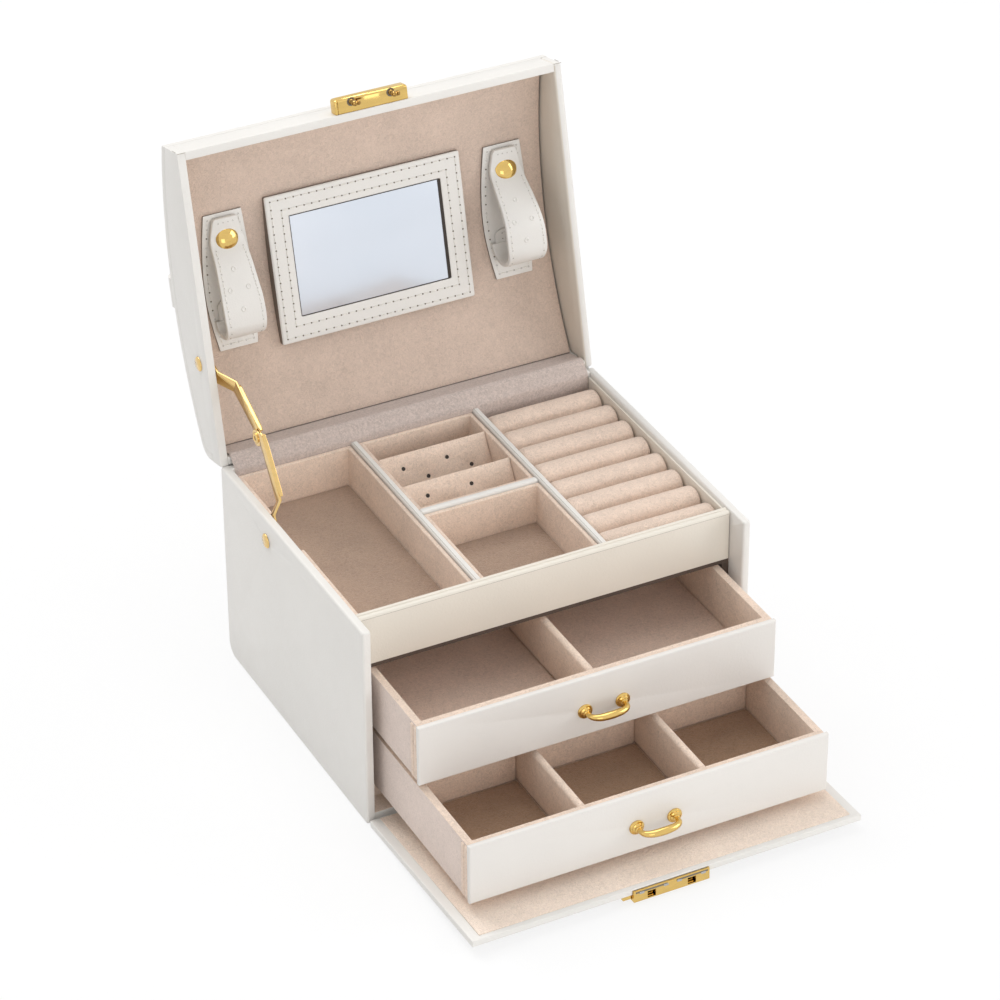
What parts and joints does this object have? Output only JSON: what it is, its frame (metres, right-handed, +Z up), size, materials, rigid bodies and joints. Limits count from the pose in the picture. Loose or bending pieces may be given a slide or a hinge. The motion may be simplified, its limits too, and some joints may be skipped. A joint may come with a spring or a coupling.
{
  "type": "travel jewelry box",
  "caption": "White leather-look travel jewelry box: domed mirror lid on a folding stay, velvet tray with ring rolls, drawers, fold-down front flap with lock.",
  "frame": {"origin": "middle of the underside of the case, on the surface it stands on", "axes": "+Z up, front towards -Y, +X to the right as seen from the front"},
  "size_m": [0.1757, 0.2867, 0.2318],
  "materials": {
    "pu_white": "white grained PU leather over board",
    "velvet": "beige pink brushed velvet over board",
    "dark_lining": "dark shadowed flock paper",
    "satin": "satin ribbon",
    "mirror": "silvered glass",
    "gilt_metal": "polished gold plating",
    "steel": "zinc plated",
    "board": "paper covered fibreboard"
  },
  "bodies": {
    "case": {"base_board": "board", "rear_panel": "pu_white", "left_side_panel": "pu_white", "right_side_panel": "pu_white", "bay_floor": "dark_lining", "bay_side_walls": "dark_lining", "drawer_shelf": "dark_lining", "tray_floor": "board", "front_fascia": "pu_white", "left_tray_divider": "pu_white", "right_tray_divider": "pu_white", "cross_divider": "velvet", "left_tray_insert": "velvet", "small_tray_insert": "velvet", "earring_insert": "velvet", "earring_panels": "velvet", "ring_rolls": "velvet", "right_tray_liner": "pu_white", "hinge_lining": "satin", "lid_hinge_cover": "pu_white", "stay_case_rivet": "gilt_metal"},
    "lid": {"lid_dome_panel": "pu_white", "lid_left_wall": "pu_white", "lid_right_wall": "pu_white", "lid_front_wall": "pu_white", "lid_rear_wall": "pu_white", "lid_lining": "velvet", "mirror_frame": "pu_white", "mirror_glass": "mirror", "left_strap_patch": "pu_white", "right_strap_patch": "pu_white", "sewn_strap_ends": "pu_white", "snap_studs": "gilt_metal", "hasp_block": "gilt_metal", "hasp_pins": "gilt_metal", "carry_handle": "pu_white", "stay_lid_rivet": "gilt_metal"},
    "left_strap": {"left_strap": "pu_white", "left_snap_cap": "gilt_metal"},
    "right_strap": {"right_strap": "pu_white", "right_snap_cap": "gilt_metal"},
    "stay_lower": {"stay_lower_arm": "gilt_metal", "stay_elbow_rivet": "gilt_metal"},
    "stay_upper": {"stay_upper_arm": "gilt_metal"},
    "flap": {"flap_board": "pu_white", "flap_lining": "velvet", "lock_case": "gilt_metal", "lock_base_plate": "steel"},
    "lock_slide": {"lock_slide": "steel"},
    "lock_barrel": {"lock_barrel": "gilt_metal"},
    "upper_drawer": {"upper_drawer_front": "pu_white", "upper_drawer_box": "velvet", "upper_drawer_dividers": "velvet", "upper_drawer_pull": "gilt_metal", "upper_pull_screws": "gilt_metal"},
    "lower_drawer": {"lower_drawer_front": "pu_white", "lower_drawer_box": "velvet", "lower_drawer_dividers": "velvet", "lower_drawer_pull": "gilt_metal", "lower_pull_screws": "gilt_metal"}
  },
  "joints": [
    {"name": "lid_hinge", "type": "hinge", "parent": "case", "child": "lid", "pos_m": [0, 0.068, 0.093], "axis": [-1, 0, 0], "range_deg": [-102.94, 0]},
    {"name": "stay_lower_pivot", "type": "hinge", "parent": "case", "child": "stay_lower", "pos_m": [-0.08315, 0.0235, 0.0828], "axis": [-1, 0, 0], "range_deg": [-110.79, 0]},
    {"name": "stay_upper_pivot", "type": "hinge", "parent": "lid", "child": "stay_upper", "pos_m": [-0.08315, 0.08644, 0.13329], "axis": [1, 0, 0], "range_deg": [-117.78, 0]},
    {"name": "upper_drawer_slide", "type": "slide", "parent": "case", "child": "upper_drawer", "axis": [0, -1, 0], "range_m": [-0.0449, 0.035]},
    {"name": "lower_drawer_slide", "type": "slide", "parent": "case", "child": "lower_drawer", "axis": [0, -1, 0], "range_m": [-0.0884, 0.01]},
    {"name": "flap_fold", "type": "hinge", "parent": "case", "child": "flap", "pos_m": [0, -0.07045, 0.00105], "axis": [1, 0, 0], "range_deg": [-3, 0]},
    {"name": "left_strap_fold", "type": "hinge", "parent": "lid", "child": "left_strap", "pos_m": [-0.0646, 0.09739, 0.13915], "axis": [1, 0, 0], "range_deg": [0, 80]},
    {"name": "right_strap_fold", "type": "hinge", "parent": "lid", "child": "right_strap", "pos_m": [0.0646, 0.09523, 0.14209], "axis": [1, 0, 0], "range_deg": [0, 80]},
    {"name": "lock_release", "type": "slide", "parent": "flap", "child": "lock_slide", "axis": [1, 0, 0], "range_m": [0, 0.0028], "stiffness_N_per_m": 60, "springref_m": -0.001},
    {"name": "lock_turn", "type": "hinge", "parent": "flap", "child": "lock_barrel", "pos_m": [-0.005, -0.15421, 0.00248], "axis": [0, 0.0415, 0.9991], "range_deg": [-90, 0]}
  ],
  "couplings": [
    {"joint": "stay_lower_pivot", "follows": "lid_hinge", "ratio": 1.0714},
    {"joint": "stay_upper_pivot", "follows": "lid_hinge", "ratio": 1.1393}
  ]
}
